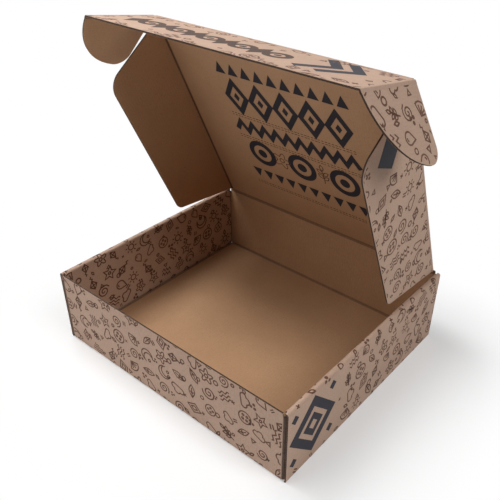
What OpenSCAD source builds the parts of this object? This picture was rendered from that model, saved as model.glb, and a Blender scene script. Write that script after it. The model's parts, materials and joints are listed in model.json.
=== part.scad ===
// Corrugated mailer box, folded from one sheet of E-flute board.
// The tray has single front and rear walls and rolled double side walls.
// A lid panel with two wings, a tuck flap and two lock ears hinges on the rear wall.
// Origin: centre of the underside. Front at -Y, width along X, +Z up. Millimetres.

/* [Tray] */
// Outside width of the tray
box_w = 300; // [220:1:420]
// Outside depth of the tray, front to rear
box_d = 256; // [180:1:380]
// Outside height of the tray's side walls
box_h = 84; // [70:1:140]
// Thickness of the corrugated board
board = 1.6; // [1.2:0.1:2]
// Thickness of a rolled side wall, its corner tabs inside
side_wall = 5.6; // [5.6:0.1:9]
// Outer radius of a fold that has been set
fold_r = 2.2; // [2:0.1:3]
// Outer radius of the looser fold between an end wall and its corner tab
corner_r = 3.4; // [2.2:0.1:3.6]
// How far the front wall stops below the side walls
front_drop = 1.6; // [0.5:0.1:8]

/* [Corner and lock tabs] */
// Length of a corner tab inside the side wall
tab_len = 68; // [30:1:100]
// Height taken off a corner tab's free end by its slanted edges
tab_taper = 12; // [2:1:20]
// Width of a lock tab under the inner side panel
lock_w = 44; // [20:1:60]
// Distance between the middles of a side's two lock tabs
lock_pitch = 128; // [70:1:170]
// Reach of a lock tab into its slot in the floor
lock_depth = 1.3; // [1:0.1:1.5]

/* [Lid] */
// Angle of the lid from shut
lid_angle = 65.5; // [40:0.5:110]
// Fold of a wing from the plane of the lid
wing_fold = 90; // [80:1:90]
// Depth of a wing from its crease
wing_depth = 81; // [40:1:81]
// Slant of a wing's rear edge, which clears the side wall
wing_rear_angle = 30; // [24.7:0.1:36]
// Slant of a wing's front edge
wing_front_angle = 12; // [9:0.5:20]
// Corner radius at a wing's rear end
wing_rear_r = 11; // [4:0.5:20]
// Corner radius at a wing's front end
wing_front_r = 18; // [4:0.5:26]

/* [Tuck flap] */
// Fold of the tuck flap from the plane of the lid
flap_fold = 56; // [20:1:80]
// Depth of the tuck flap from its crease
flap_depth = 80.8; // [50:0.1:81]
// Fold of a lock ear from the plane of the tuck flap
ear_fold = 55; // [20:1:70]
// Radius of an ear's long curved edge
ear_r = 72; // [50:0.5:80]
// Radius of an ear's rounded tip
ear_tip_r = 14; // [8:0.5:18]
// Reach of an ear's long curve below its crease line
ear_sink = 8; // [0:0.5:12]
// Slant of an ear's straight edge
ear_slant = 3.4; // [0:0.1:8]

/* [Clearances] */
// Gap between a hinged panel's rounded edge and the panel that carries it
crease_gap = 0.15; // [0.1:0.01:0.3]
// Gap on each side of a lock ear between wing and side wall
slip_gap = 0.35; // [0.2:0.05:1]
// Gap between the tuck flap and the front wall when shut
tuck_gap = 0.8; // [0.5:0.1:3]
// Gap between layers of board inside a rolled side wall
layer_gap = 0.2; // [0.1:0.05:0.4]
// Gap round a lock tab in its slot, and of other cut edges
cut_gap = 0.4; // [0.3:0.05:1]
// Setback of a hinged panel's corners beside a crease
corner_setback = 2.8; // [2:0.1:6]

/* [Hidden] */
$fn = 48;

half_w = box_w / 2;
half_d = box_d / 2;
half_board = board / 2;
inner_half_w = half_w - side_wall;
front_top = box_h - front_drop;
crease_r = half_board - 0.05;
crease_back = half_board + crease_gap;
arc_steps = 16;

// Tabs inside a rolled side wall
inner_panel_out = inner_half_w + board;
tab_in = inner_panel_out + layer_gap;
tab_out = tab_in + board;
turn_x = tab_out - corner_r;
tab_low = board + cut_gap;
tab_high = front_top - board - 2;

// Hinge axes, all at mid thickness of the board
hinge_y = half_d - half_board;
hinge_z = box_h - half_board;
ear_axis_x = inner_half_w - slip_gap - half_board;
wing_axis_x = ear_axis_x - board - slip_gap;
lid_len = hinge_y + half_d - board - tuck_gap - half_board;
lid_half_w = wing_axis_x - crease_back;
flap_half_w = ear_axis_x - crease_back;

kraft = "burlywood";
printed_kraft = "tan";

// A quarter of a round fold along +Z, from the +X side to the +Y side of its axis
module fold_quarter(length, r = fold_r) {
    intersection() {
        difference() {
            cylinder(r = r, h = length);
            translate([0, 0, -1]) cylinder(r = r - board, h = length + 2);
        }
        translate([0, 0, -1]) cube([r + 1, r + 1, length + 2]);
    }
}

// Floor with the slots for the lock tabs
module floor_panel() {
    slot = [board + 2 * cut_gap, lock_w + 2 * cut_gap, board + 2];
    difference() {
        union() {
            translate([fold_r - half_w, fold_r + cut_gap - half_d, 0])
                cube([box_w - 2 * fold_r, box_d - 2 * (fold_r + cut_gap), board]);
            translate([-turn_x, fold_r - half_d, 0])
                cube([2 * turn_x, box_d - 2 * fold_r, board]);
        }
        for (side = [-1, 1], end = [-1, 1])
            translate([side * (inner_half_w + half_board), end * lock_pitch / 2, half_board])
                cube(slot, center = true);
    }
}

// Front or rear wall, at -Y, with its folds and corner tabs
module end_wall(top) {
    // Fold between floor and wall
    translate([-turn_x, fold_r - half_d, fold_r]) rotate([0, 90, 0]) rotate([0, 0, -90])
        fold_quarter(2 * turn_x);
    translate([-turn_x, -half_d, fold_r]) cube([2 * turn_x, board, top - fold_r]);
    for (side = [0, 1]) mirror([side, 0, 0]) {
        // Fold between wall and corner tab
        translate([turn_x, corner_r - half_d, tab_low]) rotate([0, 0, -90])
            fold_quarter(tab_high - tab_low, corner_r);
        // Corner tab with slanted upper and lower edges
        translate([tab_in, corner_r - half_d, 0]) rotate([90, 0, 90])
            linear_extrude(board)
                polygon([[0, tab_low], [tab_len, tab_low + tab_taper],
                         [tab_len, tab_high - tab_taper], [0, tab_high]]);
    }
}

// Rolled side wall at +X: outer panel, top strip, inner panel and lock tabs
module rolled_wall() {
    depth = box_d - 2 * layer_gap;
    inner_depth = box_d - 2 * max(board + cut_gap, corner_r - cut_gap);
    strip_w = side_wall - 2 * fold_r;
    panel_h = box_h - 2 * fold_r;
    // Fold between floor and outer panel
    translate([half_w - fold_r, depth / 2, fold_r]) rotate([90, 90, 0])
        fold_quarter(depth);
    translate([half_w - board, -depth / 2, fold_r]) cube([board, depth, panel_h]);
    // Outer crease of the top strip
    translate([half_w - fold_r, depth / 2, box_h - fold_r]) rotate([90, 0, 0])
        fold_quarter(depth);
    translate([inner_half_w + fold_r, -depth / 2, box_h - board])
        cube([strip_w, depth, board]);
    // Inner crease of the top strip and the inner panel
    translate([inner_half_w + fold_r, inner_depth / 2, box_h - fold_r])
        rotate([90, -90, 0]) fold_quarter(inner_depth);
    translate([inner_half_w, -inner_depth / 2, board + cut_gap])
        cube([board, inner_depth, box_h - fold_r - board - cut_gap]);
    for (end = [-1, 1])
        translate([inner_half_w, end * lock_pitch / 2 - lock_w / 2, board - lock_depth])
            cube([board, lock_w, lock_depth + 2 * cut_gap]);
}

module tray() {
    color(printed_kraft) {
        floor_panel();
        end_wall(front_top);
        mirror([0, 1, 0]) end_wall(hinge_z - crease_back);
        rolled_wall();
        mirror([1, 0, 0]) rolled_wall();
    }
}

// Direction of the line from one point to another, as a unit vector
function unit(v) = v / norm(v);

// Points of a corner rounded with radius r, between its two neighbours
function round_corner(before, corner, after, r) =
    let (a = unit(before - corner),
         b = unit(after - corner),
         half = acos(a * b) / 2,
         centre = corner + unit(a + b) * r / sin(half),
         start = corner + a * r / tan(half) - centre,
         turn = 180 - 2 * half,
         way = sign(a[0] * b[1] - a[1] * b[0]))
    [for (i = [0 : arc_steps])
        let (w = -way * turn * i / arc_steps)
        centre + [start[0] * cos(w) - start[1] * sin(w),
                  start[0] * sin(w) + start[1] * cos(w)]];

// Places what follows in the lid's own plane: X along the lid from its hinge,
// Y to the right of the box, Z from mid thickness to the inside
module on_lid(angle = lid_angle) {
    translate([0, hinge_y, hinge_z]) rotate([-angle, 0, 0])
        rotate([0, 180, 0]) rotate([0, 0, -90]) mirror([0, 1, 0]) children();
}

// Places what follows in the tuck flap's plane, in the same way
module on_flap() {
    on_lid() translate([lid_len, 0, 0]) rotate([0, -flap_fold, 0]) children();
}

// Rounded edge of a hinged panel, along Y
module crease_edge(length) {
    rotate([90, 0, 0]) cylinder(r = crease_r, h = length, center = true);
}

// Lid between its rear crease and the crease of the tuck flap
module lid_panel() {
    color(kraft) on_lid() {
        crease_edge(2 * lid_half_w);
        translate([0, -lid_half_w, -half_board])
            cube([lid_len - crease_back, 2 * lid_half_w, board]);
    }
}

module tuck_flap() {
    color(kraft) on_flap() {
        crease_edge(2 * lid_half_w);
        translate([0, -lid_half_w, -half_board])
            cube([corner_setback, 2 * lid_half_w, board]);
        translate([corner_setback, -flap_half_w, -half_board])
            cube([flap_depth - corner_setback, 2 * flap_half_w, board]);
    }
}

// Outline of a wing: X along the lid from its hinge, Y from the wing's crease
function wing_outline() =
    let (rear = corner_setback,
         front = lid_len - corner_setback,
         rear_in = [rear + wing_depth * tan(wing_rear_angle), wing_depth],
         front_in = [front - wing_depth * tan(wing_front_angle), wing_depth])
    concat([[rear, 0]],
           round_corner([rear, 0], rear_in, front_in, wing_rear_r),
           round_corner(rear_in, front_in, [front, 0], wing_front_r),
           [[front, 0]]);

// Wing on the right; the left one is its mirror image
module lid_wing() {
    on_lid() translate([0, wing_axis_x, 0]) rotate([wing_fold, 0, 0]) {
        translate([corner_setback, 0, 0]) rotate([0, 90, 0])
            cylinder(r = crease_r, h = lid_len - 2 * corner_setback);
        translate([0, 0, -half_board]) linear_extrude(board) polygon(wing_outline());
    }
}

module lid_wing_right() {
    color(printed_kraft) lid_wing();
}

module lid_wing_left() {
    color(printed_kraft) mirror([1, 0, 0]) lid_wing();
}

// Outline of an ear: X down the flap from its crease, Y from the ear's crease.
// A straight edge, a round tip and one long curve back to the flap's free edge.
function ear_outline() =
    let (edge = [sin(ear_slant), cos(ear_slant)],
         side = [cos(ear_slant), -sin(ear_slant)],
         foot = [corner_setback, 0],
         big = [flap_depth - sqrt(pow(ear_r, 2) - pow(ear_sink, 2)), -ear_sink],
         from_big = foot + side * ear_tip_r - big,
         along = from_big * edge,
         up = sqrt(pow(along, 2) - from_big * from_big + pow(ear_r - ear_tip_r, 2)) - along,
         tip = foot + side * ear_tip_r + edge * up,
         meet = atan2(tip[1] - big[1], tip[0] - big[0]),
         last = asin(ear_sink / ear_r))
    concat([foot],
           [for (i = [0 : arc_steps])
               let (w = 180 - ear_slant + (meet - 180 + ear_slant) * i / arc_steps)
               tip + ear_tip_r * [cos(w), sin(w)]],
           [for (i = [1 : 2 * arc_steps])
               let (w = meet + (last - meet) * i / (2 * arc_steps))
               big + ear_r * [cos(w), sin(w)]]);

// Ear on the right; the left one is its mirror image
module lock_ear() {
    on_flap() translate([0, ear_axis_x, 0]) rotate([ear_fold, 0, 0]) {
        translate([corner_setback, 0, 0]) rotate([0, 90, 0])
            cylinder(r = crease_r, h = flap_depth - corner_setback);
        translate([0, 0, -half_board]) linear_extrude(board) polygon(ear_outline());
    }
}

module lock_ear_right() {
    color(kraft) lock_ear();
}

module lock_ear_left() {
    color(kraft) mirror([1, 0, 0]) lock_ear();
}

tray();
lid_panel();
tuck_flap();
lid_wing_left();
lid_wing_right();
lock_ear_left();
lock_ear_right();
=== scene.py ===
"""A corrugated mailer box: its paper, folds and print. Metres, with the origin under the tray."""
import json
import math

import bmesh
import bpy
import numpy as np
from mathutils import Matrix, Vector
from mathutils.geometry import convex_hull_2d

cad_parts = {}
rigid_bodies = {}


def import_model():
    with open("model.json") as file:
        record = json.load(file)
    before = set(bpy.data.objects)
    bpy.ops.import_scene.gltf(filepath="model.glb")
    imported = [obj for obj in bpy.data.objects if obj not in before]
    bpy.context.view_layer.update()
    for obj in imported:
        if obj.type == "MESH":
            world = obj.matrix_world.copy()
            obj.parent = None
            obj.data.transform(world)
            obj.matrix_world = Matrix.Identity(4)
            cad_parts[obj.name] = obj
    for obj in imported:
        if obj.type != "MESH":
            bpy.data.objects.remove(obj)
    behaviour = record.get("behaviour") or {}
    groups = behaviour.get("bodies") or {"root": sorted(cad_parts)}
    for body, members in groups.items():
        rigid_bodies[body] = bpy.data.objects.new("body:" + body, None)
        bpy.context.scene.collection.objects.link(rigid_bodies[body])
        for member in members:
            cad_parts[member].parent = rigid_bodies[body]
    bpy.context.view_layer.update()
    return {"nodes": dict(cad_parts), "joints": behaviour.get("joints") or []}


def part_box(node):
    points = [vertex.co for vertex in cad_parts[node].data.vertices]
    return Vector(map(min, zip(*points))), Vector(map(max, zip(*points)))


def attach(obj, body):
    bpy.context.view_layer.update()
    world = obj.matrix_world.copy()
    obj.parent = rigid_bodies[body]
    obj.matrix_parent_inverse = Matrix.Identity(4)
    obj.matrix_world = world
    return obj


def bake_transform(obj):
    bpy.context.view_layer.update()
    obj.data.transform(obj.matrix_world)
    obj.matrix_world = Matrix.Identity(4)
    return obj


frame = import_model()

# Sizes of the sheet that are not written in the frame
board = 0.0016
side_wall = 0.0056
fold_r = 0.0022
corner_r = 0.0034
layer_gap = 0.0002
cut_gap = 0.0004
corner_setback = 0.0028
lock_pitch = 0.128
lock_w = 0.044
flute_pitch = 0.0032
wing_fold = math.radians(90)
hinge_room = 0.00095

# Places worked out from the frame
joints = {joint["name"]: joint for joint in frame["joints"]}
tray_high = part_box("tray")[1]
half_w = tray_high.x
half_d = tray_high.y
box_h = tray_high.z
half_board = board / 2
across = Vector((1, 0, 0))
lid_axis = Vector(joints["lid_hinge"]["pos_m"])
flap_axis = Vector(joints["flap_hinge"]["pos_m"])
lid_len = (flap_axis - lid_axis).length
along_lid = (flap_axis - lid_axis).normalized()
lid_inward = across.cross(along_lid).normalized()
along_flap = Vector(joints["ear_right_hinge"]["axis"]).normalized()
flap_inward = across.cross(along_flap).normalized()
ear_fold = math.radians(joints["ear_right_hinge"]["range_deg"][1])
wing_axis_x = joints["wing_right_hinge"]["pos_m"][0]
ear_axis_x = joints["ear_right_hinge"]["pos_m"][0]
inner_half_w = half_w - side_wall
turn_x = inner_half_w + 2 * board + layer_gap - corner_r
wall_top = lid_axis.z - hinge_room

# Camera at the photograph's viewing angle. Pixels are of the 500 x 500 picture.
picture_px = 500
focal_px = 641.4
centre_px = (271.2, 264.4)
camera_azimuth = math.radians(38.95)
camera_elevation = math.radians(34.31)
camera_roll = math.radians(1.04)
camera_place = Vector((0.3572, -0.4095, 0.4662))


def link(item):
    bpy.context.scene.collection.objects.link(item)
    return item


def add_camera():
    """Camera with the photograph's lens, place and framing."""
    data = bpy.data.cameras.new("camera")
    data.sensor_width = 36
    data.lens = data.sensor_width * focal_px / picture_px
    data.shift_x = 0.5 - centre_px[0] / picture_px
    data.shift_y = centre_px[1] / picture_px - 0.5
    data.clip_start = 0.01
    camera = link(bpy.data.objects.new("camera", data))
    turn = (Matrix.Rotation(camera_azimuth, 4, "Z")
            @ Matrix.Rotation(math.pi / 2 - camera_elevation, 4, "X")
            @ Matrix.Rotation(camera_roll, 4, "Z"))
    camera.matrix_world = Matrix.Translation(camera_place) @ turn
    bpy.context.scene.camera = camera


class Value:
    """A socket of a node tree that can be used in arithmetic."""

    def __init__(self, nodes, socket):
        self.nodes = nodes
        self.socket = socket

    def math(self, operation, *values):
        inputs = dict(enumerate(values))
        return self.nodes.node("ShaderNodeMath", {"operation": operation}, inputs)

    def __add__(self, other):
        return self.math("ADD", self, other)

    def __mul__(self, other):
        return self.math("MULTIPLY", self, other)

    def __sub__(self, other):
        return self.math("SUBTRACT", self, other)

    def __rsub__(self, other):
        return self.math("SUBTRACT", other, self)

    def __truediv__(self, other):
        return self.math("DIVIDE", self, other)

    def __mod__(self, other):
        return self.math("MODULO", self, other)

    def __gt__(self, other):
        return self.math("GREATER_THAN", self, other)

    def __lt__(self, other):
        return self.math("LESS_THAN", self, other)

    def __abs__(self):
        return self.math("ABSOLUTE", self)

    def either(self, other):
        return self.math("MAXIMUM", self, other)

    def sine(self):
        return self.math("SINE", self)

    def floor(self):
        return self.math("FLOOR", self)

    __radd__ = __add__
    __rmul__ = __mul__


class Nodes:
    """A node tree in the making."""

    def __init__(self, tree):
        self.tree = tree

    def node(self, kind, settings=None, inputs=None, output=0):
        """Adds a node: its settings first, then the values or links of its sockets."""
        node = self.tree.nodes.new(kind)
        for name, value in (settings or {}).items():
            setattr(node, name, value)
        for name, value in (inputs or {}).items():
            if isinstance(value, Value):
                self.tree.links.new(value.socket, node.inputs[name])
            else:
                node.inputs[name].default_value = value
        return Value(self, node.outputs[output]) if len(node.outputs) else node

    def outputs(self, value):
        """All outputs of the node that a value comes from."""
        return [Value(self, output) for output in value.socket.node.outputs]


class Finish(Nodes):
    """A material and its nodes."""

    def __init__(self, name, owner=None):
        self.material = owner or bpy.data.materials.new(name)
        self.material.use_nodes = True
        super().__init__(self.material.node_tree)
        self.tree.nodes.clear()

    def mix(self, factor, first, second, how="MIX"):
        """Mixes two colours."""
        first, second = ((*c, 1) if isinstance(c, tuple) else c for c in (first, second))
        return self.node("ShaderNodeMix", {"data_type": "RGBA", "blend_type": how},
                         {0: factor, 6: first, 7: second}, 2)

    def vector(self, operation, *values, output=0):
        inputs = dict(enumerate(values))
        return self.node("ShaderNodeVectorMath", {"operation": operation}, inputs, output)

    def parts(self, vector):
        """The three parts of a vector."""
        return self.outputs(self.node("ShaderNodeSeparateXYZ", None, {0: vector}))

    def place(self, kind="Object"):
        return self.node("ShaderNodeTexCoord", output=kind)

    def noise(self, place, scale, detail=2.0, rough=0.5):
        return self.node("ShaderNodeTexNoise", None,
                         {"Vector": place, "Scale": scale, "Detail": detail, "Roughness": rough})

    def fibres(self, place):
        """Fine noise, drawn out along the paper's fibres."""
        return self.noise(self.placed(place, Scale=(1, 1, 0.35)), 900, 3, 0.65)

    def placed(self, vector, **settings):
        """A vector that is moved, turned or stretched."""
        return self.node("ShaderNodeMapping", None, {"Vector": vector, **settings})

    def eased(self, value, low, high, bottom=0.0, top=1.0):
        """A value that climbs smoothly from bottom to top between low and high."""
        return self.node("ShaderNodeMapRange", {"interpolation_type": "SMOOTHSTEP"},
                         {"Value": value, "From Min": low, "From Max": high,
                          "To Min": bottom, "To Max": top})

    def bump(self, height, distance, under=None):
        inputs = {"Height": height, "Distance": distance}
        if under:
            inputs["Normal"] = under
        return self.node("ShaderNodeBump", None, inputs)

    def done(self, shader):
        self.node("ShaderNodeOutputMaterial", None, {"Surface": shader})
        return self.material

    def matt(self, colour, rough, normal, gloss):
        """The finished material, with a surface of little gloss."""
        return self.done(self.node("ShaderNodeBsdfPrincipled", None,
                                   {"Base Color": colour, "Roughness": rough,
                                    "Normal": normal, "Specular IOR Level": gloss}))


# Paper colours
printed_light = (0.500, 0.344, 0.257)
printed_dark = (0.424, 0.286, 0.210)
plain_light = (0.500, 0.300, 0.168)
plain_dark = (0.420, 0.245, 0.132)
# Dark brown of the painted shade in creases, inside corners and the tray's corner folds
painted_shade_brown = (0.026, 0.012, 0.008)
fleck_brown = (0.200, 0.115, 0.065)
cut_paper = (0.140, 0.076, 0.044)
# Painted shadow in the hollows between the papers of a cut edge
hollow_shadow = (0.016, 0.008, 0.006)
ink_brown = (0.100, 0.040, 0.022)
ink_bold = (0.050, 0.024, 0.016)
ink_navy = (0.012, 0.012, 0.020)

# Painted shade along a crease or an inside corner is darkest up to the first of these distances,
# and ends at the second
shade_from = 0.0014
shade_to = 0.0032

# How dark the painted shade is on the tray's corner folds, in its inside corners and along the
# panels' creases
corner_fold_shade = 0.95
corner_shade = 0.5
crease_shade = 0.75

# A point this much inside a panel's faces is on its cut edge
face_margin = 0.00002

# Section of the board: three papers and the hollows between them
liner_in = 0.00058
medium_swing = 0.00042
medium_half = 0.00011


def paper(finish, place, flute, plain, edge, depth, painted_shade):
    """Kraft paper: plain or printed side, the board's section and painted shade at folds and
    corners, each by a mask.
    """
    clouds = finish.noise(place, 28, 3)
    grain = finish.fibres(place)
    flecks = finish.eased(finish.noise(place, 620, 1), 0.69, 0.75)
    wave = (flute * (2 * math.pi / flute_pitch)).sine()
    outer = finish.mix(clouds, printed_dark, printed_light)
    inner = finish.mix(clouds, plain_dark, plain_light)
    colour = finish.mix(plain, outer, inner)
    # Random grain tone, with painted shade across the flute ribs
    grain_and_rib_shade = finish.eased(grain, 0.25, 0.75, 0.90, 1.07) + wave * 0.012
    colour = finish.mix(1.0, colour, finish.node("ShaderNodeCombineColor", None,
                                                 {0: grain_and_rib_shade, 1: grain_and_rib_shade, 2: grain_and_rib_shade}), "MULTIPLY")
    colour = finish.mix(flecks * 0.45, colour, fleck_brown)
    # Painted shade, mixed towards dark brown by its mask
    colour = finish.mix(painted_shade * finish.eased(grain, 0.2, 0.8, 1.0, 0.8), colour, painted_shade_brown)
    medium = abs(depth - wave * medium_swing) < medium_half
    solid = medium.either(abs(depth) > liner_in)
    # Section of a cut edge: paper, with painted shadow in the hollows
    section = finish.mix(solid, hollow_shadow, cut_paper)
    colour = finish.mix(edge, colour, section)
    rough = finish.eased(grain, 0.2, 0.8, 0.68, 0.86)
    soft = finish.bump(finish.noise(place, 14, 1), 0.0009)
    ribbed = finish.bump(wave, 0.000012, soft)
    fibrous = finish.bump(grain, 0.00006, ribbed)
    return finish.matt(colour, rough, fibrous, 0.32)


def tray_finish():
    """The tray's paper: plain inside, printed outside and on the turned-in side panels."""
    finish = Finish("tray_board")
    place = finish.place()
    normal = finish.place("Normal")
    x, y, z = finish.parts(place)
    normal_y, normal_z = finish.parts(normal)[1:]
    out_x = abs(x)
    out_y = abs(y)
    hair = 0.0002
    fold_end = turn_x + corner_r + hair
    between = out_x < inner_half_w - hair
    end_face = abs(normal_y) > 0.5
    strip = z > box_h - board - hair / 4
    wall_edge = between * (normal_z > 0.5) * (z > box_h - 2 * fold_r)
    side_edge = end_face * (out_x > fold_end)
    strip_edge = end_face * strip * (out_x > inner_half_w + hair)
    edge = wall_edge.either(side_edge).either(strip_edge)
    plain = between * (z > half_board) * (out_y < half_d - half_board)
    upright = (1 - between) * (1 - strip)
    flute = upright * z + (1 - upright) * x
    side_depth = out_x - (half_w - half_board)
    strip_depth = z - (box_h - half_board)
    wall_depth = out_y - (half_d - half_board)
    depth = (upright * side_depth + between * wall_depth
             + (1 - between) * strip * strip_depth)
    # Painted shade over the round folds at the tray's four corners
    in_fold = finish.eased(out_x, turn_x - hair, turn_x + 0.0012) * (out_x < fold_end)
    painted_shade = in_fold * (out_y > half_d - corner_r - hair) * (z < wall_top)
    # Painted shade in the inside corners where the floor meets the walls
    by_wall = finish.eased(out_y, half_d - board - shade_to, half_d - board - shade_from)
    by_floor = finish.eased(z, board + shade_from, board + shade_to, 1.0, 0.0)
    by_side = finish.eased(out_x, inner_half_w - shade_to, inner_half_w - shade_from)
    at_ends = between * plain * by_wall * by_floor
    at_sides = (out_x < inner_half_w + hair) * (z > half_board) * by_side * by_floor
    dark = (painted_shade * corner_fold_shade).either(at_ends.either(at_sides) * corner_shade)
    return paper(finish, place, flute, plain, edge, depth, dark)


def panel_finish(name, panel, creases):
    """Paper of a flat panel in its own directions, with painted shade inside along its creases.

    Each crease has a place along the panel's side direction (0) or its onward direction (1).
    """
    finish = Finish(name)
    place = finish.place()
    turn = Matrix((panel.sideways, panel.onward, panel.inward))
    start = turn @ panel.origin
    own = finish.placed(place, Location=-start, Rotation=turn.to_euler())
    parts = finish.parts(own)
    depth = parts[2]
    edge = abs(depth) < half_board - face_margin
    near = [finish.eased(abs(parts[way] - spot), shade_from, shade_to, 1.0, 0.0)
            for way, spot in creases]
    near_crease = near[0]
    for other in near[1:]:
        near_crease = near_crease.either(other)
    # Painted shade on the inner face along the creases
    dark = near_crease * (depth > 0) * crease_shade
    return paper(finish, own, parts[0], depth > 0, edge, depth, dark)


def fold_finish(name, plain, painted_shade):
    """Paper of a folded crease, with painted shade over it."""
    finish = Finish(name)
    place = finish.place()
    x = finish.parts(place)[0]
    return paper(finish, place, x, plain, 0, x, painted_shade)


def ink_finish(name, ink, paper_share):
    """Flat ink that has sunk into the paper, thin over the fibres."""
    finish = Finish(name)
    place = finish.place()
    grain = finish.fibres(place)
    clouds = finish.noise(place, 40, 2)
    thin = finish.eased(grain + clouds * 0.3, 0.55, 0.95, 0.0, paper_share)
    colour = finish.mix(thin, ink, printed_dark)
    rough = finish.eased(grain, 0.2, 0.8, 0.6, 0.8)
    return finish.matt(colour, rough, finish.bump(grain, 0.00005), 0.3)


class Panel:
    """A flat panel: the middle of its crease, and its ways to the right, onward and inward."""

    def __init__(self, origin, sideways, onward, inward, sheet_side, sheet_on):
        self.origin = Vector(origin)
        self.sideways = Vector(sideways)
        self.onward = Vector(onward)
        self.inward = Vector(inward)
        self.sheet_side = sheet_side
        self.sheet_on = sheet_on

    def place(self, sheet, inside=False):
        """Points of the flat sheet on this panel's face, and the directions out of it."""
        face = half_board if inside else -half_board
        out = np.array(self.inward) * (1 if inside else -1)
        spots = (np.array(self.origin) + np.array(self.inward) * face
                 + np.outer(sheet[:, 0] - self.sheet_side, self.sideways)
                 + np.outer(sheet[:, 1] - self.sheet_on, self.onward))
        return spots, np.tile(out, (len(sheet), 1))

    def outline(self, node, inset):
        """The panel's convex outline on the flat sheet, from the CAD node's own points."""
        points = [v.co - self.origin for v in frame["nodes"][node].data.vertices]
        flat = [(p.dot(self.sideways) + self.sheet_side, p.dot(self.onward) + self.sheet_on)
                for p in points]
        return shrunk([flat[i] for i in convex_hull_2d(flat)], inset)


def shrunk(outline, inset):
    """Edges of a convex outline as a point and an outward direction, moved in."""
    middle = np.mean(outline, axis=0)
    edges = []
    for here, after in zip(outline, outline[1:] + outline[:1]):
        here, after = np.array(here), np.array(after)
        way = after - here
        if np.linalg.norm(way) < 1e-5:
            continue
        out = np.array((way[1], -way[0])) / np.linalg.norm(way)
        if out @ (here - middle) < 0:
            out = -out
        edges.append((here - out * inset, out))
    return edges


def rectangle(low_side, high_side, low_on, high_on):
    """Edges of a rectangle on the flat sheet."""
    low, high = (low_side, low_on), (high_side, high_on)
    return [(low, (-1, 0)), (high, (1, 0)), (low, (0, -1)), (high, (0, 1))]


class Wrap:
    """Flat faces joined by round folds, for sheet that goes round the tray's edges."""

    steps = 8

    def __init__(self, corners):
        corners = [np.array(corner, float) for corner in corners]
        ways = [(b - a) / np.linalg.norm(b - a) for a, b in zip(corners, corners[1:])]
        outs = [np.array((way[1], -way[0])) for way in ways]
        points = [corners[0]]
        normals = [outs[0]]
        for corner, into, away, out in zip(corners[1:], ways, ways[1:], outs):
            centre = corner - into * fold_r + away * fold_r
            for step in range(self.steps + 1):
                turn = math.pi / 2 * step / self.steps
                spoke = out * math.cos(turn) + into * math.sin(turn)
                points.append(centre + fold_r * spoke)
                normals.append(spoke)
        self.points = np.array(points + [corners[-1]])
        self.normals = np.array(normals + [outs[-1]])
        gaps = np.linalg.norm(np.diff(self.points, axis=0), axis=1)
        self.lengths = np.concatenate([[0], np.cumsum(gaps)])
        self.cuts = self.lengths[1:-1]
        self.first_face = self.steps + 1

    def at(self, length):
        """Points and normals, each out and up, at developed lengths along the faces."""
        spots = [np.interp(length, self.lengths, part) for part in self.points.T]
        normals = np.array([np.interp(length, self.lengths, part) for part in self.normals.T])
        return spots, normals / np.linalg.norm(normals, axis=0)


# The flat sheet: side to side from the middle of the floor, and front to rear
side_wrap = Wrap([(0, 0), (half_w, 0), (half_w, box_h),
                  (inner_half_w, box_h), (inner_half_w, board)])
front_top = box_h - board
front_wrap = Wrap([(0, 0), (half_d, 0), (half_d, front_top)])
rear_wrap = Wrap([(0, 0), (half_d, 0), (half_d, wall_top)])
lid_on = rear_wrap.lengths[-1] + hinge_room
flap_on = lid_on + lid_len
strip_end = side_wrap.lengths[2 * side_wrap.first_face + 1]
# A height on the right wall lies this far out on the sheet, and its own length further
side_up = (side_wrap.lengths[side_wrap.first_face]
           - side_wrap.points[side_wrap.first_face][1])

lid = Panel(lid_axis, across, along_lid, lid_inward, 0, lid_on)
flap = Panel(flap_axis, across, along_flap, flap_inward, 0, flap_on)


def folded_from(carrier, side, axis_x, fold):
    """A panel folded inward from another's side edge."""
    out = across * side
    depth = out * math.cos(fold) + carrier.inward * math.sin(fold)
    inward = carrier.inward * math.cos(fold) - out * math.sin(fold)
    return Panel(carrier.origin + out * axis_x, depth * side, carrier.onward, inward,
                 side * axis_x, carrier.sheet_on)


wings = {side: folded_from(lid, side, wing_axis_x, wing_fold) for side in (-1, 1)}
ears = {side: folded_from(flap, side, ear_axis_x, ear_fold) for side in (-1, 1)}


def on_wall(wrap, way, end):
    """Places sheet on a wall: left (-1) or right (1) for way 0, front (-1) or rear (1) for 1."""
    def place(sheet):
        placed = []
        for (out, up), still in zip(wrap.at(abs(sheet[:, way])), (sheet[:, 1 - way], 0)):
            level = [end * out, still + 0 * out]
            placed.append(np.stack([level[way], level[1 - way], up], 1))
        return placed
    return place


def under_floor(sheet):
    """Places sheet on the underside of the floor."""
    spots = np.column_stack([sheet, np.zeros(len(sheet))])
    return spots, np.tile((0.0, 0.0, -1.0), (len(sheet), 1))


def inside_lid(sheet):
    """Places sheet on the inside of the lid."""
    return lid.place(sheet, True)


# Line drawings for the print, in millimetres. Each is a list of lines: points, and closed or not.
line_width = 0.00112


def arc(radius, start=0, end=360, middle=(0, 0), steps=16):
    """Points along an arc, without the last one where it closes."""
    whole = abs(end - start) >= 360
    turns = np.radians(np.linspace(start, end, steps + (not whole), endpoint=not whole))
    return [(middle[0] + radius * math.cos(a), middle[1] + radius * math.sin(a)) for a in turns]


def lens(length, width, start=(0, 0), turn=0, steps=6):
    """Outline of a leaf."""
    share = np.linspace(0, 1, steps + 1)
    upper = [(length * t, width / 2 * math.sin(math.pi * t)) for t in share]
    lower = [(length * t, -width / 2 * math.sin(math.pi * t)) for t in share[-2:0:-1]]
    c, s = math.cos(math.radians(turn)), math.sin(math.radians(turn))
    return [(start[0] + x * c - y * s, start[1] + x * s + y * c) for x, y in upper + lower]


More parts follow.
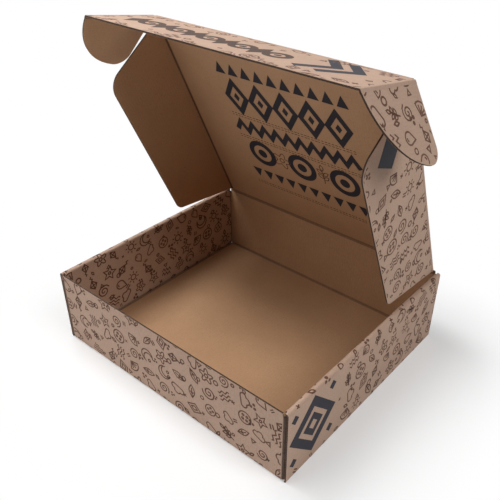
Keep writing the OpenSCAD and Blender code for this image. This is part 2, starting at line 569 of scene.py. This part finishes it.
def rosette(radius, swing, petals, steps):
    """Outline of a flower."""
    turns = [2 * math.pi * i / steps for i in range(steps)]
    return [((radius + swing * math.cos(petals * a)) * math.cos(a),
             (radius + swing * math.cos(petals * a)) * math.sin(a)) for a in turns]


def ripple(height, width=12, swing=1.1, steps=9):
    return [(width * (t - 0.5), height + swing * math.sin(4 * math.pi * t))
            for t in np.linspace(0, 1, steps)]


def zigzag(height, width=12, swing=1.5, teeth=6):
    return [(width * (i / teeth - 0.5), height + swing * (-1) ** i) for i in range(teeth + 1)]


def star(outer, inner, tips=5):
    return [((outer, inner)[i % 2] * math.sin(math.pi * i / tips),
             (outer, inner)[i % 2] * math.cos(math.pi * i / tips)) for i in range(2 * tips)]


def spoke(turn, inner, outer, middle=(0, 0)):
    a = math.radians(turn)
    return [(middle[0] + r * math.cos(a), middle[1] + r * math.sin(a)) for r in (inner, outer)]


def spiral(turns, radius, steps=20):
    share = np.linspace(0.08, 1, steps)
    return [(radius * t * math.cos(2 * math.pi * turns * t),
             radius * t * math.sin(2 * math.pi * turns * t)) for t in share]


def drop(radius, tip, steps=12):
    return arc(radius, -215, 35, steps=steps) + [(0, tip)]


large_drawings = {
    "leaf": [(lens(13, 6, (-6.5, 0), 0, 7), True), ([(-6.5, 0), (3.5, 0)], False),
             ([(-2.5, 0), (-0.5, 1.9)], False), ([(-2.5, 0), (-0.5, -1.9)], False)],
    "sprig": [([(0, -6.5), (0.4, -2), (0, 2), (-0.6, 5)], False)]
             + [(lens(4.4, 2.4, (0.2, y), turn, 4), True)
                for y, turn in ((-3.5, 40), (-2.4, 140), (0.2, 35), (1.4, 145), (3.6, 95))],
    "star": [(star(6.4, 3.0), True), (arc(1.2, steps=7), True)],
    "sun": [(arc(3.0, steps=12), True)]
           + [(spoke(turn, 4.3, 6.4), False) for turn in range(0, 360, 45)],
    "flower": [(rosette(4.7, 1.6, 5, 30), True), (arc(1.6, steps=8), True)],
    "drop": [(drop(4.0, 7.0), True), (arc(2.2, 200, 270, steps=3), False)],
    "ripples": [(ripple(height), False) for height in (-3.2, 0, 3.2)],
    "zigzags": [(zigzag(height), False) for height in (-2.4, 2.4)],
    "lozenges": [([(0, 6.4), (4.6, 0), (0, -6.4), (-4.6, 0)], True),
                 ([(0, 3.0), (2.1, 0), (0, -3.0), (-2.1, 0)], True)],
    "spiral": [(spiral(2.1, 6.0, 24), False)],
    "crescent": [(arc(6.0, 50, 310, steps=12) + arc(5.0, 290, 70, (2.4, 0), steps=9), True),
                 (arc(1.2, steps=7, middle=(4.4, 0.3)), True)],
    "fan": [(arc(6.6, 25, 155, (0, -3.4), steps=8) + [(0, -5.2)], True)]
           + [(spoke(turn, 0.2, 5.4, (0, -4.2)), False) for turn in (55, 90, 125)],
    "button": [(arc(5.6, steps=16), True)]
              + [(arc(0.9, steps=6, middle=(x, y)), True)
                 for x in (-1.8, 1.8) for y in (-1.8, 1.8)],
    "kite": [([(0, 7), (3.6, 2.6), (0, -2.4), (-3.6, 2.6)], True),
             ([(0, 7), (0, -2.4)], False), ([(-3.6, 2.6), (3.6, 2.6)], False),
             ([(0, -2.4), (1.2, -4), (-0.6, -5.4), (0.8, -7)], False)],
    "cloud": [(arc(2.4, 80, 270, (-3.6, -0.6), 6) + arc(2.4, -90, 90, (3.8, -0.6), 6)
               + arc(3.0, 10, 170, (0.2, 1.4), 7), True)],
}
small_drawings = {
    "ring": [(arc(2.1, steps=10), True)],
    "ringlet": [(arc(1.3, steps=8), True)],
    "plus": [([(-1.9, 0), (1.9, 0)], False), ([(0, -1.9), (0, 1.9)], False)],
    "dashes": [([(-2.0, 1.0), (2.0, 1.0)], False), ([(-2.0, -1.0), (2.0, -1.0)], False)],
    "triangle": [([(0, 2.2), (2.0, -1.3), (-2.0, -1.3)], True)],
    "pebbles": [(arc(0.7, steps=6, middle=spot), True)
                for spot in ((-1.8, -0.9), (1.6, -1.1), (0.1, 1.6))],
    "seed": [(lens(4.6, 2.2, (-2.3, 0), 0, 4), True)],
}


def stroke(points, closed, width):
    """A line of the given width along points, as flat faces with mitred bends."""
    points = np.array(points, float)
    after = np.roll(points, -1, 0) - points
    after /= np.linalg.norm(after, axis=1)[:, None]
    before = np.roll(after, 1, 0)
    if not closed:
        before[0] = after[0]
        after[-1] = before[-1]
    bend = before + after
    bend /= np.linalg.norm(bend, axis=1)[:, None]
    reach = width / 2 / np.maximum((bend * after).sum(1), 0.55)
    side = np.stack([-bend[:, 1], bend[:, 0]], 1) * reach[:, None]
    spots = np.stack([points + side, points - side], 1).reshape(-1, 2)
    count = len(points)
    faces = [(2 * i, 2 * i + 1, 2 * j + 1, 2 * j)
             for i in range(count if closed else count - 1) for j in [(i + 1) % count]]
    return spots, faces


def together(flats):
    """Several shapes as one."""
    spots, faces, start = [], [], 0
    for points, some in flats:
        spots.append(points)
        faces += [tuple(int(i) + start for i in face) for face in some]
        start += len(points)
    return np.concatenate(spots), faces


def moved(flat, spot, size=1.0, turn=0):
    """A flat shape turned, scaled and moved to a spot."""
    c, s = math.cos(math.radians(turn)), math.sin(math.radians(turn))
    return flat[0] @ np.array([[c, s], [-s, c]]) * size + np.array(spot), flat[1]


def drawing(lines, width=line_width):
    """A line drawing as flat faces, in metres."""
    return together([stroke(np.array(points) * 0.001, closed, width) for points, closed in lines])


def mesh_of(name, spots, faces):
    mesh = bpy.data.meshes.new(name)
    if spots.shape[1] == 2:
        spots = np.column_stack([spots, np.zeros(len(spots))])
    mesh.from_pydata(spots.tolist(), [], faces)
    return mesh


def item_of(name, mesh, finish):
    item = link(bpy.data.objects.new(name, mesh))
    item.data.materials.append(finish)
    return item


def drawings_kept(name, drawings):
    """The drawings as objects of a collection that the scene doesn't show."""
    kept = bpy.data.collections.new(name)
    for key, lines in sorted(drawings.items()):
        kept.objects.link(bpy.data.objects.new(key, mesh_of(key, *drawing(lines))))
    return kept


class Scatter(Nodes):
    """Geometry Nodes that strew drawings over a flat sheet in staggered rows."""

    # The group's inputs, and the kinds of random value in the order of their node's sockets
    kinds = {"Drawings": "Collection", "Count": "Int", "Width": "Float", "Length": "Float",
             "Pitch": "Float", "Jitter": "Float", "Smallest": "Float", "Largest": "Float",
             "Seed": "Int", "Ink": "Material"}
    draws = ("FLOAT_VECTOR", "FLOAT", "INT")

    def __init__(self):
        super().__init__(bpy.data.node_groups.new("scattered_print", "GeometryNodeTree"))
        face = self.tree.interface
        face.new_socket("Geometry", in_out="OUTPUT", socket_type="NodeSocketGeometry")
        self.names = {}
        for name, kind in self.kinds.items():
            socket = face.new_socket(name, in_out="INPUT", socket_type="NodeSocket" + kind)
            self.names[name] = socket.identifier
        given = self.outputs(self.node("NodeGroupInput"))
        self.build(dict(zip(self.kinds, given)))

    def flat(self, x, y):
        return self.node("ShaderNodeCombineXYZ", None, {"X": x, "Y": y})

    def draw(self, kind, low, high, seed):
        """A random value for each spot."""
        first = self.draws.index(kind)
        return self.node("FunctionNodeRandomValue", {"data_type": kind},
                         {2 * first: low, 2 * first + 1: high, "Seed": seed}, first)

    def build(self, given):
        pitch, jitter, seed = given["Pitch"], given["Jitter"], given["Seed"]
        rows = (given["Length"] / pitch).floor()
        grid = self.node("GeometryNodeMeshGrid", None,
                         {"Size X": given["Width"], "Size Y": given["Length"],
                          "Vertices X": given["Width"] / pitch, "Vertices Y": rows})
        column = ((self.node("GeometryNodeInputIndex") + 0.5) / rows).floor()
        stagger = self.flat(0.0, column % 2.0 * (pitch * 0.5))
        low, high = (self.flat(reach, reach) for reach in (jitter * -1.0, jitter))
        strewn = self.draw("FLOAT_VECTOR", low, high, seed)
        offset = self.node("ShaderNodeVectorMath", {"operation": "ADD"}, {0: stagger, 1: strewn})
        spots = self.node("GeometryNodeSetPosition", None, {"Geometry": grid, "Offset": offset})
        shapes = self.node("GeometryNodeCollectionInfo", None,
                           {"Collection": given["Drawings"], "Separate Children": True,
                            "Reset Children": True})
        turn = self.draw("FLOAT", 0.0, 2 * math.pi, seed + 2.0)
        placed = self.node(
            "GeometryNodeInstanceOnPoints", None,
            {"Points": spots, "Instance": shapes, "Pick Instance": True,
             "Instance Index": self.draw("INT", 0, given["Count"] - 1.0, seed + 1.0),
             "Rotation": self.node("ShaderNodeCombineXYZ", None, {"Z": turn}),
             "Scale": self.draw("FLOAT", given["Smallest"], given["Largest"], seed + 3.0)})
        marked = self.node("GeometryNodeStoreNamedAttribute",
                           {"data_type": "INT", "domain": "INSTANCE"},
                           {"Geometry": placed, "Name": "drawing",
                            "Value": self.node("GeometryNodeInputIndex")})
        real = self.node("GeometryNodeRealizeInstances", None, {"Geometry": marked})
        inked = self.node("GeometryNodeSetMaterial", None,
                          {"Geometry": real, "Material": given["Ink"]})
        self.node("NodeGroupOutput", None, {0: inked})

    def strew(self, name, **values):
        """The strewn drawings as flat arrays: points, faces and the drawing of each point."""
        holder = link(bpy.data.objects.new(name, bpy.data.meshes.new(name)))
        modifier = holder.modifiers.new("scatter", "NODES")
        modifier.node_group = self.tree
        for key, value in values.items():
            modifier[self.names[key]] = value
        evaluated = holder.evaluated_get(bpy.context.evaluated_depsgraph_get())
        mesh = bpy.data.meshes.new_from_object(evaluated)
        spots = np.zeros(len(mesh.vertices) * 3)
        mesh.vertices.foreach_get("co", spots)
        marks = np.zeros(len(mesh.vertices), np.int32)
        mesh.attributes["drawing"].data.foreach_get("value", marks)
        faces = [tuple(face.vertices) for face in mesh.polygons]
        bpy.data.objects.remove(holder)
        return spots.reshape(-1, 3)[:, :2], faces, marks


# How far the ink stands on the paper, and how deep it is sunk in
ink_rise = 0.00005
ink_sink = 0.00002

# A drawing is kept where this much of it is inside, and a face where it has this area
least_inside = 0.0003
least_area = 1e-10


def clipped(flat, edges, cuts=(), cut_axis=0):
    """The part of a flat shape inside a convex outline, also cut through along given lines."""
    if not flat[1]:
        return flat
    work = bmesh.new()
    spots = [work.verts.new((x, y, 0)) for x, y in flat[0]]
    for face in flat[1]:
        work.faces.new([spots[i] for i in face])
    planes = [((*point, 0), (*out, 0), True) for point, out in edges]
    way = (1, 0, 0) if cut_axis == 0 else (0, 1, 0)
    low = flat[0][:, cut_axis].min()
    high = flat[0][:, cut_axis].max()
    planes += [(tuple(cut * k for k in way), way, False) for cut in cuts if low < cut < high]
    for point, out, clear in planes:
        whole = work.verts[:] + work.edges[:] + work.faces[:]
        bmesh.ops.bisect_plane(work, geom=whole, dist=1e-7, plane_co=point, plane_no=out,
                               clear_outer=clear)
    work.verts.index_update()
    spots = np.array([v.co[:2] for v in work.verts]).reshape(-1, 2)
    faces = [tuple(v.index for v in face.verts)
             for face in work.faces if face.calc_area() > least_area]
    work.free()
    return spots, faces


def raised(flat, place):
    """A flat shape laid on the folded box as a thin closed film: points and faces."""
    spots, out = place(flat[0])
    count = len(spots)
    if not count or not flat[1]:
        return np.zeros((0, 3)), []
    first = list(flat[1][0][:3])
    a, b, c = spots[first]
    turned = np.cross(b - a, c - a) @ out[first[0]] < 0
    faces = [face[::-1] for face in flat[1]] if turned else list(flat[1])
    pairs = {(face[i - 1], face[i]) for face in faces for i in range(len(face))}
    under = [tuple(i + count for i in face[::-1]) for face in faces]
    rim = [(b, a, a + count, b + count) for a, b in pairs if (b, a) not in pairs]
    both = np.concatenate([spots + out * ink_rise, spots - out * ink_sink])
    return both, faces + under + rim


def pick(flat, marks, edges, zones=()):
    """The drawings that touch an outline: those well inside, and those that its edges cross."""
    spots = flat[0]
    reach = np.max([(spots - point) @ out for point, out in edges], axis=0)
    count = marks.max() + 1
    most = np.full(count, -9.0)
    least = np.full(count, 9.0)
    np.maximum.at(most, marks, reach)
    np.minimum.at(least, marks, reach)
    kept = least < -least_inside
    for (low_side, low_on), (high_side, high_on) in zones:
        hit = ((spots[:, 0] > low_side) & (spots[:, 0] < high_side)
               & (spots[:, 1] > low_on) & (spots[:, 1] < high_on))
        kept[np.unique(marks[hit])] = False
    inside = kept & (most <= 0)
    crossed = kept & (most > 0)
    return tuple(chosen(flat, marks, some) for some in (inside, crossed))


def chosen(flat, marks, some):
    """The drawings of a strewn sheet for which some is true."""
    spots, faces = flat
    keep = some[marks]
    new = np.cumsum(keep) - 1
    return spots[keep], [tuple(new[i] for i in face) for face in faces if keep[face[0]]]


def printed(sheets, edges, place, zones=(), cuts=(), cut_axis=0):
    """The strewn drawings on one face of the box, as films."""
    films = []
    for flat, marks in sheets:
        inside, crossed = pick(flat, marks, edges, zones)
        if len(cuts):
            inside = clipped(inside, edges, cuts, cut_axis)
        crossed = clipped(crossed, edges, cuts, cut_axis)
        films += [raised(inside, place), raised(crossed, place)]
    return films


def piece(name, films, finish, body):
    """One mesh of films that moves with a body."""
    item = item_of(name, mesh_of(name, *together(films)), finish)
    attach(item, body)


def blot(points):
    """A filled shape, in metres, from an outline in millimetres that runs counterclockwise."""
    return np.array(points, float) * 0.001, [tuple(range(len(points)))]


def band(points, closed, width):
    """A bold line, with points and width in millimetres."""
    return stroke(np.array(points, float) * 0.001, closed, width * 0.001)


def lozenge(wide, high):
    return [(wide / 2, 0), (0, high / 2), (-wide / 2, 0), (0, -high / 2)]


def repeated(shape, spots):
    """One shape, in millimetres, at each of several spots."""
    flat = together(shape)
    return [moved(flat, (x * 0.001, y * 0.001)) for x, y in spots]


def flipped(flat):
    """A flat shape turned upside down."""
    return flat[0] * np.array((1, -1)), [face[::-1] for face in flat[1]]


def in_row(first, last, count):
    """Even places from first to last."""
    return [first + (last - first) * i / (count - 1) for i in range(count)]


def teeth(first, last, count, middle, swing, width):
    """A bold zigzag along a row. It starts low."""
    row = in_row(first, last, count)
    return band([(x, middle - swing * (-1) ** i) for i, x in enumerate(row)], False, width)


def wedge(wide, high):
    return [blot([(-wide / 2, -high / 2), (wide / 2, -high / 2), (0, high / 2)])]


def jewel(wide, high, width):
    """A hollow lozenge with a stone in it."""
    return [band(lozenge(wide, high), True, width), blot(lozenge(wide * 0.3, high * 0.3))]


def target(radius, width, core):
    """A ring round a disc."""
    return [band(arc(radius, steps=32), True, width), blot(arc(core, steps=16))]


def bold_side():
    """Bold shape at the front end of the right wall, by height and depth: nested lozenges."""
    rings = [band(lozenge(high, wide), True, width)
             for high, wide, width in ((56, 54, 9), (21, 20, 6))]
    corners = [(upward * 26.5, along * 26.5) for along in (-1, 1) for upward in (-1, 1)]
    small = repeated([blot(lozenge(11, 10))], corners)
    return moved(together(rings + small), (0.0445, -0.092))


def lid_bands():
    """Bold ornament inside the lid: wedges, jewels, a zigzag, targets and wedges again."""
    shapes = repeated(wedge(13, 14), [(x, 209) for x in in_row(-76, 68, 10)])
    shapes += repeated(jewel(25, 38, 6), [(x, 174) for x in in_row(-66, 58, 5)])
    shapes.append(teeth(-82, 74, 21, 133, 6.5, 6))
    shapes += repeated(target(15, 6.5, 6), [(x, 97) for x in in_row(-58, 50, 3)])
    shapes += repeated([flipped(wedge(13, 14)[0])], [(x, 61) for x in in_row(-76, 68, 10)])
    return together(shapes)


def lid_lines():
    """Thin dashes between the bold bands, and line drawings between the targets."""
    shapes = []
    for height in (150, 147, 119, 116, 46, 43):
        for place in range(38):
            start = -82 + place * 4.1
            end = start + 2.2 + place % 3 * 0.5
            shapes.append(band([(start, height), (end, height)], False, 1.0))
    for x, key in ((-31, "flower"), (23, "sprig")):
        shapes.append(moved(drawing(large_drawings[key], 0.0006), (x * 0.001, 0.097), 1.9))
    return together(shapes)


def flap_band():
    """A dense bold row on the tuck flap: lozenges and targets by turns."""
    row = in_row(-118, 44, 10)
    return together(repeated([blot(lozenge(17, 36))], [(x, 42) for x in row[::2]])
                    + repeated(target(9.5, 6.5, 3.4), [(x, 42) for x in row[1::2]]))


def chevrons():
    """Two bold chevrons at the right end of the tuck flap."""
    return together([band([(x, 60), (x + 22, 33), (x, 6)], False, 9) for x in (72, 92)])


# Parts of the sheet that hold bold shapes and no strewn drawings, from low to high corner,
# and the middle of the wing's shape
wall_zones = [((side_up + 0.009, -0.128), (side_up + 0.0765, -0.057)),
              ((side_up + 0.0765, -0.100), (side_up + 0.081, -0.084))]
flap_zones = [((-0.129, flap_on + 0.022), (0.128, flap_on + 0.062))]
wing_zones = [((wing_axis_x + 0.026, lid_on + 0.198), (wing_axis_x + 0.066, lid_on + 0.236))]
wing_mark = (wing_axis_x + 0.044, lid_on + 0.217)

# Strewn sheet: spacing of the drawings, its length, and how far it goes past the last panel
print_pitch = 0.0196
print_length = 0.86
print_past = 0.09

# Bare margins at the tray's folds, round a flat panel, and beside and at the ends of a slot
fold_margin = 0.0004
panel_margin = 0.0012
slot_margin = (0.0016, 0.001)


def strewn_sheets(ink):
    """Large and small drawings strewn over the whole flat sheet."""
    scatter = Scatter()
    large = drawings_kept("large drawings", large_drawings)
    small = drawings_kept("small drawings", small_drawings)
    middle = np.array((0, flap_on + print_past - print_length / 2))
    sheets = []
    for kept, seed, jitter, shift, least, most in (
            (large, 11, 0.0024, 0, 1.10, 1.38),
            (small, 23, 0.0021, print_pitch / 2, 0.95, 1.50)):
        spots, faces, marks = scatter.strew(
            "print", Drawings=kept, Count=len(kept.objects), Width=2 * (strip_end + print_past),
            Length=print_length, Pitch=print_pitch, Jitter=jitter, Smallest=least,
            Largest=most, Seed=seed, Ink=ink)
        sheets.append(((spots + middle + np.array((shift, 0)), faces), marks))
    return sheets


def print_tray(sheets, ink):
    """Strewn drawings on the tray's outer faces and turned-in side panels."""
    outer = (half_w - fold_r, strip_end, half_d - layer_gap - fold_margin)
    inner = (strip_end, side_wrap.lengths[-1] - cut_gap,
             half_d - corner_r + cut_gap - fold_margin)
    for side, word, zones in ((1, "right", wall_zones), (-1, "left", ())):
        films = []
        for low, high, reach in (outer, inner):
            edges = rectangle(*sorted((side * low, side * high)), -reach, reach)
            films += printed(sheets, edges, on_wall(side_wrap, 0, side), zones,
                             side * side_wrap.cuts, 0)
        piece("print_" + word + "_wall", films, ink, "tray")
    flat_x = turn_x - fold_margin
    flat_y = half_d - fold_r - fold_margin
    films = []
    for end, wrap in ((-1, front_wrap), (1, rear_wrap)):
        ways = sorted((end * (half_d - fold_r), end * (wrap.lengths[-1] - fold_margin)))
        films += printed(sheets, rectangle(-flat_x, flat_x, *ways), on_wall(wrap, 1, end), (),
                         end * wrap.cuts, 1)
    piece("print_front_and_rear", films, ink, "tray")
    slots = []
    reach = np.array((0, lock_w / 2)) + slot_margin
    for side in (-1, 1):
        for end in (-1, 1):
            middle = np.array((side * (inner_half_w + half_board), end * lock_pitch / 2))
            slots.append((middle - reach, middle + reach))
    films = printed(sheets, rectangle(-flat_x, flat_x, -flat_y, flat_y), under_floor, slots)
    piece("print_underside", films, ink, "tray")


def print_panels(sheets, ink):
    """Strewn drawings on the outer faces of the lid, the flap, the wings and the ears."""
    faces = [("lid", "lid_panel", lid, ()), ("flap", "tuck_flap", flap, flap_zones)]
    for side, word, zones in ((-1, "left", ()), (1, "right", wing_zones)):
        faces += [("wing_" + word, "lid_wing_" + word, wings[side], zones),
                  ("ear_" + word, "lock_ear_" + word, ears[side], ())]
    for body, node, panel, zones in faces:
        films = printed(sheets, panel.outline(node, panel_margin), panel.place, zones)
        piece("print_" + body, films, ink, body)


def add_print():
    """Strewn drawings over the outside, and bold shapes on three panels and inside the lid."""
    brown = ink_finish("brown_print", ink_brown, 0.24)
    bold_brown = ink_finish("bold_brown_print", ink_bold, 0.05)
    navy = ink_finish("navy_print", ink_navy, 0.05)
    sheets = strewn_sheets(brown)
    print_tray(sheets, brown)
    print_panels(sheets, brown)
    up_wall, up_lid, up_flap = (side_up, 0), (0, lid_on), (0, flap_on)
    for name, flat, spot, place, ink, body, slot in (
            ("bold_print_wall", bold_side(), up_wall, on_wall(side_wrap, 0, 1), navy, "tray",
             "navy_ink"),
            ("block_inside_lid", lid_bands(), up_lid, inside_lid, navy, "lid", "navy_ink"),
            ("lines_inside_lid", lid_lines(), up_lid, inside_lid, brown, "lid", "brown_ink"),
            ("brown_bold_flap", flap_band(), up_flap, flap.place, bold_brown, "flap",
             "brown_ink"),
            ("navy_bold_flap", chevrons(), up_flap, flap.place, navy, "flap", "navy_ink"),
            ("bold_print_wing", blot(lozenge(34, 34)), wing_mark, wings[1].place, navy,
             "wing_right", "navy_ink")):
        piece(name, [raised(moved(flat, spot), place)], ink, body)


# Creases: thin paper that bridges a hinge, its thickness, and its reach onto each panel
skin = 0.00012
skin_r = half_board + skin / 2
fold_reach = 0.0024
fold_start = 0.0004
fold_steps = 10

# A reach on each side of a crease; the points that crease_strip works out with it are not used
blend_reach = 0.0008

# A fold has an inside strip if the cosine of its angle is above this
least_cosine = 0.1


def outside_profile(before, after, out_before, out_after):
    """Points round the outside of a hinge line, each with its way out of the strip."""
    outs = [out_before.slerp(out_after, step / fold_steps) for step in range(fold_steps + 1)]
    return ([(out_before * skin_r - before * fold_reach, out_before)]
            + [(out * skin_r, out) for out in outs]
            + [(out_after * skin_r + after * fold_reach, out_after)])


def inside_profile(before, after, out_before, out_after):
    """Points along the inside of a hinge line, which meet in a corner."""
    meet = skin_r * math.tan(out_before.angle(out_after) / 2)
    face, far_face = out_before * skin_r, out_after * skin_r
    return [(face - before * (meet + fold_reach), out_before),
            (face - before * (meet + fold_start), out_before),
            (face - before * meet, (out_before + out_after).normalized()),
            (far_face + after * (meet + fold_start), out_after),
            (far_face + after * (meet + fold_reach), out_after)]


def crease_strip(name, axis, span, ways, outs, profile, finish):
    """A strip of liner round a hinge line, between the two panels that meet there."""
    points = profile(*ways, *outs)
    spots = [axis + span * share + point + out * half * skin
             for share in (-0.5, 0.5) for point, out in points for half in (0.5, -0.5)]
    far = 2 * len(points)
    last = far - 2
    faces = [(0, far, far + 1, 1), (last, last + 1, far + last + 1, far + last)]
    for a in range(0, last, 2):
        b = a + far
        faces += [(a, a + 2, b + 2, b), (a + 1, b + 1, b + 3, a + 3),
                  (a, a + 1, a + 3, a + 2), (b, b + 2, b + 3, b + 1)]
    mesh = mesh_of(name, np.array(spots), faces)
    work = bmesh.new()
    work.from_mesh(mesh)
    bmesh.ops.recalc_face_normals(work, faces=work.faces)
    work.to_mesh(mesh)
    work.free()
    item = item_of(name, mesh, finish)
    middle = axis + (outs[0] + outs[1]).normalized() * skin_r
    middle - ways[0] * blend_reach
    middle + ways[1] * blend_reach
    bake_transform(item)


def add_creases():
    """Strips at the six hinges."""
    # Painted shade: faint on the outside strips, strong on the inside ones
    outside = fold_finish("printed_fold", 0, 0.06)
    inside = fold_finish("plain_fold", 1, 0.55)
    up, forward = Vector((0, 0, 1)), Vector((0, -1, 0))
    flap_points = [v.co - flap_axis for v in frame["nodes"]["tuck_flap"].data.vertices]
    flap_depth = max(point.dot(along_flap) for point in flap_points)
    hinges = [("tray", "lid", lid_axis, across * 2 * (inner_half_w - layer_gap),
               (up, along_lid), (forward, lid_inward)),
              ("lid", "flap", flap_axis, across * 2 * (wing_axis_x - hinge_room),
               (along_lid, along_flap), (lid_inward, flap_inward))]
    for side, word in ((-1, "left"), (1, "right")):
        wing, ear, out = wings[side], ears[side], across * side
        hinges += [("lid", "wing_" + word, wing.origin + along_lid * lid_len / 2,
                    along_lid * (lid_len - 2 * corner_setback),
                    (out, wing.sideways * side), (lid_inward, wing.inward)),
                   ("flap", "ear_" + word,
                    ear.origin + along_flap * (corner_setback + flap_depth) / 2,
                    along_flap * (flap_depth - corner_setback),
                    (out, ear.sideways * side), (flap_inward, ear.inward))]
    for carrier, body, axis, span, ways, inwards in hinges:
        crease_strip("fold_outside_" + body, axis, span, ways,
                     [-way for way in inwards], outside_profile, outside)
        if inwards[0].dot(inwards[1]) > least_cosine:
            crease_strip("fold_inside_" + body, axis, span, ways, inwards,
                         inside_profile, inside)


def dress_panels():
    """Gives each CAD panel its paper."""
    at_wings = [(0, -wing_axis_x), (0, wing_axis_x)]
    at_ears = [(0, -ear_axis_x), (0, ear_axis_x)]
    own = [(0, 0)]
    flats = {"lid_panel": (lid, at_wings + [(1, 0), (1, lid_len)]),
             "tuck_flap": (flap, at_ears + [(1, 0)]),
             "lid_wing_left": (wings[-1], own), "lid_wing_right": (wings[1], own),
             "lock_ear_left": (ears[-1], own), "lock_ear_right": (ears[1], own)}
    finishes = {"tray": tray_finish()}
    for node, (panel, creases) in flats.items():
        finishes[node] = panel_finish(node + "_board", panel, creases)
    for node, finish in finishes.items():
        materials = frame["nodes"][node].data.materials
        materials.clear()
        materials.append(finish)


# Studio: a floor that is partly white at the box and plain white from some way off
floor_half = 3.0
floor_colour = (0.94, 0.94, 0.94, 1)
white = (1, 1, 1, 1)
white_least = 0.25
white_to = 0.13
soft_strength = 0.02


def seen_directly(finish):
    """1 for rays that show the background: from the camera, in gloss or through glass."""
    rays = [finish.node("ShaderNodeLightPath", output="Is " + kind + " Ray")
            for kind in ("Camera", "Glossy", "Transmission")]
    return rays[0].either(rays[1]).either(rays[2])


def add_floor():
    """A pale floor that turns to plain white away from the box and keeps its shadow."""
    finish = Finish("studio_floor")
    place = finish.place()
    beyond = finish.vector("SUBTRACT", finish.vector("ABSOLUTE", place), (half_w, half_d, 0))
    distance = finish.vector("LENGTH", finish.vector("MAXIMUM", beyond, (0, 0, 0)), output=1)
    far = finish.eased(distance, 0.0, white_to, white_least, 1.0)
    pale = finish.node("ShaderNodeBsdfDiffuse", None, {"Color": floor_colour})
    plain = finish.node("ShaderNodeEmission", None, {"Color": white, "Strength": 1.0})
    finish.done(finish.node("ShaderNodeMixShader", None,
                            {0: far * seen_directly(finish), 1: pale, 2: plain}))
    corners = np.array([(-1, -1), (1, -1), (1, 1), (-1, 1)]) * floor_half
    mesh = mesh_of("studio_floor", corners, [(0, 1, 2, 3)])
    item_of("studio_floor", mesh, finish.material)


def add_world():
    """Even soft surroundings, white where the camera sees them."""
    world = bpy.data.worlds.new("studio")
    bpy.context.scene.world = world
    finish = Finish("studio", world)
    soft = finish.node("ShaderNodeBackground", None,
                       {"Color": white, "Strength": soft_strength})
    plain = finish.node("ShaderNodeBackground", None, {"Color": white, "Strength": 1.0})
    mixed = finish.node("ShaderNodeMixShader", None,
                        {0: seen_directly(finish), 1: soft, 2: plain})
    finish.node("ShaderNodeOutputWorld", None, {"Surface": mixed})


def add_lamp(name, place, towards, size, power):
    data = bpy.data.lights.new(name, "AREA")
    data.shape = "DISK"
    data.size = size
    data.energy = power
    lamp = link(bpy.data.objects.new(name, data))
    lamp.location = place
    lamp.rotation_euler = (Vector(towards) - Vector(place)).to_track_quat("-Z", "Y").to_euler()


# Lamps, all aimed at the middle of the box: place, width and power in watts
box_middle = (0, 0, 0.1)
lamps = {"close_left": ((-0.38, -0.05, 0.75), 0.4, 1.8),
         "near_left": ((-0.6, -0.1, 1.1), 0.6, 3.8),
         "above_right": ((1.2, 0, 1.3), 1.0, 14),
         "above_front": ((-0.7, -0.8, 1.5), 1.4, 12.6),
         "front": ((-0.2, -1.7, 0.45), 1.0, 2.9)}


def add_studio():
    add_floor()
    add_world()
    for name, (place, size, power) in lamps.items():
        add_lamp(name, place, box_middle, size, power)


add_camera()
dress_panels()
add_creases()
add_print()
add_studio()
bpy.context.scene.view_settings.view_transform = "Standard"
